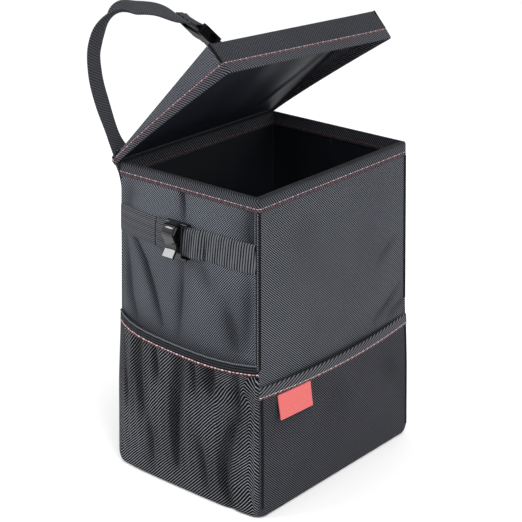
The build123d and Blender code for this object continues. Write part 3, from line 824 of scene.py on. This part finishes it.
# Beside the seams the cut net turns back on its bias, and its ribs slant the other way:
# (place along, place in the net)
BIAS = ((-99, -57), (-78, -78), (77, 77), (99, 55))
pale_rows, red_rows, edges = [], [], []
for side, sign in HANDS:
    along = sign * net_flat * net_reach
    sag = net + (MESH_RISE - MESH_TILT * sign * net_flat) * net / MESH_TOP
    face = mesh_swell(along, net, net_reach)
    shape = slab(wall(side, sag, net_flat, net_turn, swell=face),
                 wall(side, sag, net_flat, net_turn, swell=face - 0.9))
    shape[2][:, 0] = sign * np.interp(sign * shape[2][:, 0], *np.transpose(BIAS))
    made = piece(side + "_mesh", shape, mesh_cloth, stands_for=(side + "_mesh_pocket",),
                 painted_shade=shaded(along, net, MESH_FOLDS, 0.38))
    piece(side + "_elastic", tube(mesh_tape(side, sign, tape_z, tape_out)), elastic,
          stands_for=(side + "_pocket_binding",))
    # the rolled edge: a bead painted pale as a highlight
    edges.append(ribbon(tape_row(side, sign, -0.5, 0.9), ALONG_Z, 1.2, 0.8))
    for rows, z, lift, radius in ((pale_rows, -8.2, 1.3, 0.42), (red_rows, -9.7, 1.0, 0.3)):
        path = tape_row(side, sign, z, lift)
        rows.append(stitches(path, tape_row(side, sign, z, lift + 1) - path, radius=radius))
piece("elastic_edges", joined(*edges), elastic_edge_highlight)
piece("mesh_stitching", joined(*pale_rows), pale_thread)
piece("mesh_stitching_red", joined(*red_rows), red_thread)

# ---------------------------------------------------------------- side webbing

WEB_MIDDLE, WEB_HALF, WEB_FALL, WEB_THICK = 231.5, 12.5, 2.4, 1.4
TACK = 27.0  # the webbing is tacked down this far either side of its middle
web_flat = np.linspace(-1, 1, 320)
web_share = np.abs(web_flat)
web_rise = np.concatenate([[-1, -0.97], np.linspace(-0.9, 0.9, 37), [0.97, 1]])[:, None]
tacks = []
for side, sign in HANDS:
    fall = WEB_FALL * ease((sign * web_flat - 0.38) / 0.6)
    z = WEB_MIDDLE + WEB_HALF * web_rise - fall
    a = web_flat * (half_depth(z) - corner_radius(z))
    stand = 2.8 * ease((26 - np.abs(a)) / 4) + 0.25  # room for the clip behind its middle
    level = belly_out(z, web_share) * ease((1 - web_share) * GUSSET_SEAM)
    # upright ribs in front of the clip, level ones behind it, and a dent at each tack
    ribs = np.where(sign * a > 0, 0.14 * np.sin(2 * np.pi * a / 3.0),
                    0.12 * np.sin(2 * np.pi * (z - WEB_MIDDLE) / 2.0))
    ribs = ribs - 0.5 * np.exp(-(((np.abs(a) - TACK) / 1.2) ** 2))
    thick = WEB_THICK * np.sqrt(np.clip(1 - web_rise**8, 0.05, 1)) + ribs
    outer = wall(side, z, web_flat, 0 * web_flat, swell=level + stand + thick)
    inner = wall(side, z, web_flat, 0 * web_flat, swell=level + stand - 0.05)
    shape = slab(outer, inner)
    # the pattern's ribs turn with the modelled ones
    shape[2][:, 0] = np.where(sign * shape[2][:, 0] > 0, shape[2][:, 0], 1.6 * shape[2][:, 1])
    piece(side + "_web", shape, webbing, stands_for=(side + "_webbing",))
    way_out = np.array(SIDES[side][1] + (0.0,))
    for place in (-TACK, TACK):
        column = np.argmin(np.abs(a[len(a) // 2] - place))
        path = outer[:, column] + way_out * 0.1
        tacks.append(stitches(path, np.tile(way_out, (len(path), 1)), 2.6, 2.1, 0.4))
piece("webbing_tacks", joined(*tacks), black_thread_and_shade)

# ---------------------------------------------------------------- hang strap, buckle and clips

STRAP_WIDE, STRAP_THICK = 25.0, 1.5
BUCKLE = np.array([38.0, 117.0, 366.0])
BUCKLE_ALONG = unit(np.array([0.75, -0.03, -0.66]))
BUCKLE_ACROSS = unit(np.array([0.0, 0.95, 0.3]))
BUCKLE_FACE = np.cross(BUCKLE_ACROSS, BUCKLE_ALONG)


def at_buckle(along, face):
    """A point of the strap at the buckle, with the strap's lie there."""
    return np.concatenate([BUCKLE + BUCKLE_ALONG * along + BUCKLE_FACE * face, BUCKLE_ACROSS])


# Hang strap: (x, y, z, and the way its width lies) from the seam on the back, then round the bar
left_run = [
    (-84, 77.1, 236, 1, 0, 0), (-84, 77.0, 258, 1, 0, 0), (-95.5, 84.5, 297.4, 0.9, 0.28, -0.34),
    (-94.6, 97, 321.8, 0.91, 0.24, -0.33), (-93.6, 106, 346.8, 0.9, 0.28, -0.34),
    (-88.1, 112, 366, 0.87, 0.34, -0.37), (-79.3, 115.5, 376.6, 0.81, 0.37, -0.45),
    (-58.1, 117.5, 390.0, 0.66, 0.7, -0.2), (-40.9, 118.5, 392.4, 0.1, 0.93, 0.3),
    (-19.2, 119, 388.5, 0, 0.93, 0.36), (8.2, 118.5, 379.5, 0.05, 0.86, 0.5),
]
left_run += [at_buckle(*spot) for spot in (
    (-8, 3.0), (0, 2.85), (2.6, 2.7), (4.3, 1.5), (4.8, 0), (4.3, -1.5), (2.6, -2.7), (0, -2.75),
    (-4, -1.4), (-8, 0.9), (-11, 2.2))]
right_run = [at_buckle(*spot) for spot in (
    (54, 2.4), (48, 1.4), (43, -0.8), (38, -2.75), (35.2, -2.7), (33.5, -1.5), (33.0, 0),
    (33.5, 1.5), (35.2, 2.7), (38, 2.85), (46, 3.3))]
right_run += [
    (78, 113.5, 324, 0.1, 0.95, 0.2), (87, 105, 304, 0.4, 0.9, 0), (88, 92, 282, 0.88, 0.45, 0),
    (84, 77.0, 258, 1, 0, 0), (84, 77.1, 236, 1, 0, 0),
]
for name, run, count, body, nodes in (
        ("hang_strap_left", left_run, 520, "bin", "strap_left"),
        ("hang_strap_right", right_run, 260, "right strap", "strap_right")):
    path = spline(run, count)
    band = ribbon(path[:, :3], path[:, 3:], STRAP_WIDE, STRAP_THICK)
    piece(name, band, strap_weave, body, (nodes,))

for name in ("buckle_socket", "buckle_plug", "left_clip", "right_clip"):
    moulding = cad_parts[name]
    weld = moulding.modifiers.new("weld", "WELD")
    weld.merge_threshold = 0.00002
    bevel = moulding.modifiers.new("rounded edges", "BEVEL")
    bevel.width, bevel.segments = 0.0005, 3
    bevel.limit_method, bevel.angle_limit = "ANGLE", np.radians(38)
    moulding.data.materials.clear()
    moulding.data.materials.append(acetal if "clip" in name else dull_acetal)

# ---------------------------------------------------------------- lid pieces

x, long, nx, nl = lid_outline()
low_edge = lid_low(long)
up_wall = np.linspace(0, 1, 14)[:, None]
wall_high = low_edge + up_wall * (3.0 - low_edge)
depth_share = np.clip(-low_edge / (WALL_BACK + WALL_GROWS), 0, 1)
belly = 0.9 * np.sin(np.pi * up_wall) * np.sin(np.pi * depth_share / 2)
outer, inner = lid_wall(belly, wall_high), lid_wall(belly - 1.2, wall_high)
for name, part, material, nodes in (
        ("lid_left_cloth", slice(0, LEFT_CORNER + 1), lid_side, "lid_left_wall"),
        ("lid_front_cloth", slice(LEFT_CORNER, RIGHT_CORNER + 1), lid_weave, "lid_front_wall"),
        ("lid_right_cloth", slice(RIGHT_CORNER, None), lid_side, "lid_right_wall")):
    piece(name, slab(outer[:, part], inner[:, part]), material, "lid", (nodes,))

# Lid top: rounded off at its edges, slightly padded
top_x, drop_x = rounded(-LID_HALF, LID_HALF, 70, 2.2)
top_l, drop_l = rounded(0.0, LID_LONG, 60, 2.2)
top_x, top_l = top_x[None, :], top_l[:, None]
drop = np.maximum(drop_x[None, :], drop_l[:, None])
puff = 0.8 * (1 - (top_x / LID_HALF) ** 4) * (1 - ((top_l - LID_MIDDLE) / LID_MIDDLE) ** 4)
top = lid(top_x, top_l, LID_STACK - drop + puff)
under = lid(top_x * 0.985, LID_MIDDLE + (top_l - LID_MIDDLE) * 0.985, 0.9 + 0 * drop)
piece("lid_cloth", slab(top, under), oxford, "lid", ("lid_top", "lid_board"))

# Lid lining: film that sags a little inside its seams, with two folds at the right
LINING_FOLDS = ((((58, 30), (74, 90), (92, 140)), 5.0, 2.6), (((80, 50), (88, 110)), 4.0, 1.8))
film_x, film_l = np.linspace(-100.6, 100.6, 90)[None, :], np.linspace(1.5, 154.0, 80)[:, None]
inside = ease((92 - np.abs(film_x)) / 40) * ease((film_l - 10) / 30) * ease((142 - film_l) / 30)
wave = 0.5 * np.sin(0.07 * film_x + 0.05 * film_l) * np.sin(0.05 * film_x - 0.03 * film_l + 2)
sag = 2.4 * inside * (1 + wave)
for route, width, depth in LINING_FOLDS:
    sag = sag - crease(film_x, film_l, route, width, depth) * ease((100 - np.abs(film_x)) / 8)
piece("lid_film", slab(lid(film_x, film_l, -sag), lid(film_x, film_l, 0.8 - 0.5 * sag)),
      lid_lining, "lid", ("lid_lining",))

# Lid tape: its outline from the outside, round the walls' lower edge and up inside is (lift, share
# of the height of its leg)
LEG = np.array([(0.15, 1.0), (0.7, 0.97), (0.75, 0.5), (0.7, 0.08), (0.2, -0.02), (-0.6, -0.06),
                (-1.4, -0.02), (-1.8, 0.08), (-1.8, 0.5), (-1.75, 0.97), (-1.3, 1.0), (-0.6, 0.98)])
leg_lift, leg_up = LEG.T[:, :, None]
leg = np.minimum(5.0 + 4.5 * long / 155, 3.4 - low_edge)
piece("lid_tape", tube(lid_wall(leg_lift + 0.25, low_edge + leg_up * leg)), twill_lid,
      "lid", ("lid_binding",))

# Lid stitching: rows of (lift, height over the tape's upper edge, way out, radius)
for name, rows, material in (
        ("lid_stitching", ((1.02, -1.3, 1, 0.33),), dull_thread),
        ("lid_stitching_red", ((1.02, -2.7, 1, 0.26), (-1.65, -1.6, -1, 0.28)), red_thread)):
    sewn = []
    for lift, up, out, radius in rows:
        high = low_edge + leg + up
        path = lid_wall(lift, high)
        sewn.append(stitches(path, out * (lid_wall(lift + 1.0, high) - path), radius=radius))
    piece(name, joined(*sewn), material, "lid")

# Lid corner seams: a fine welt down each front corner of the lid
welts = []
for k in (LEFT_CORNER, RIGHT_CORNER):
    high = np.linspace(low_edge[k] + leg[k], 3.4, 20)
    path = lid(x[k] + nx[k] * 0.6, long[k] + nl[k] * 0.6, high)
    lie = lid(x[k] + nl[k], long[k] - nx[k], high) - lid(x[k], long[k], high)
    welts.append(ribbon(path, lie, 2.4, 1.5))
piece("lid_corner_seams", joined(*welts), black_thread_and_shade, "lid")

# Hinge cloth: rows (y, z, share of the pucker, narrowing) up the back, (long, high) on the lid
BACK_ROWS = ((76.75, 267, 0.0, 0.955), (76.75, 272, 0.3, 0.97), (77.0, 279, 0.8, 0.99),
             (78.6, 282.2, 0.8, 1.0))
LID_ROWS = ((0.6, 4.6), (5.0, 4.9), (10.0, 4.8))
hinge_x = np.linspace(-102.8, 102.8, 80)
pucker = 4.0 * np.exp(-(((np.abs(hinge_x) - 99) / 5) ** 2))  # it stands out at its two ends
strip = []
for offset in (0.5, -0.3):
    rows = [np.stack([hinge_x * narrow, y + offset + share * pucker, z + 0 * pucker], -1)
            for y, z, share, narrow in BACK_ROWS]
    rows += [lid(hinge_x, far, high + offset) for far, high in LID_ROWS]
    strip.append(np.stack(rows))
piece("hinge_cloth", slab(*strip), twill, "hinge", ("lid_hinge_tape",))

# ---------------------------------------------------------------- stage, light and camera

FLOOR_HALF, FLOOR_Z = 6, -0.0004  # metres
floor_mesh = bpy.data.meshes.new("floor")
floor_corners = ((-1, -1), (1, -1), (1, 1), (-1, 1))
floor_mesh.from_pydata([(FLOOR_HALF * a, FLOOR_HALF * b, FLOOR_Z) for a, b in floor_corners],
                       [], [(0, 1, 2, 3)])
floor_object = bpy.data.objects.new("floor", floor_mesh)
bpy.context.scene.collection.objects.link(floor_object)
floor_mesh.materials.append(smooth("pale floor", "#f4f4f4", "#fafafa", 3.0, 0.9, 0.0, 0.1))

world = bpy.data.worlds.new("studio")
world.use_nodes = True
world.node_tree.nodes.clear()
sky = node(world.node_tree, "Background", {}, {"Color": linear("#ffffff"), "Strength": 0.85})
node(world.node_tree, "OutputWorld", {}, {"Surface": sky})
bpy.context.scene.world = world

LIT = Vector((0, 0, 0.15))  # the lamps face this point of the bin
for name, place, size, power in (
        ("key", (-0.8, -1.6, 2.0), 1.2, 36),
        ("back left", (-1.4, 1.25, 1.35), 0.8, 26),
        ("fill", (1.3, -1.6, 1.3), 1.4, 12)):
    lamp = bpy.data.lights.new(name, "AREA")
    lamp.size, lamp.energy = size, power
    lamp_object = bpy.data.objects.new(name, lamp)
    lamp_object.location = place
    lamp_object.rotation_euler = (LIT - Vector(place)).to_track_quat("-Z", "Y").to_euler()
    bpy.context.scene.collection.objects.link(lamp_object)

# Photo's view: 49.9 degrees round to the left, 21.4 degrees up, 1.41 m from the picture's middle
azimuth, elevation, distance = np.radians(-49.92), np.radians(21.43), 1.4136
target = Vector((-0.0059, 0.0, 0.1813))
away = Vector((np.sin(azimuth) * np.cos(elevation), -np.cos(azimuth) * np.cos(elevation),
               np.sin(elevation)))
lens = bpy.data.cameras.new("photo camera")
lens.sensor_width, lens.lens = 36.0, 112.43
camera = bpy.data.objects.new("photo camera", lens)
camera.location = target + distance * away
camera.rotation_euler = (-away).to_track_quat("-Z", "Y").to_euler()
bpy.context.scene.collection.objects.link(camera)
bpy.context.scene.camera = camera
bpy.context.scene.view_settings.view_transform = "Standard"
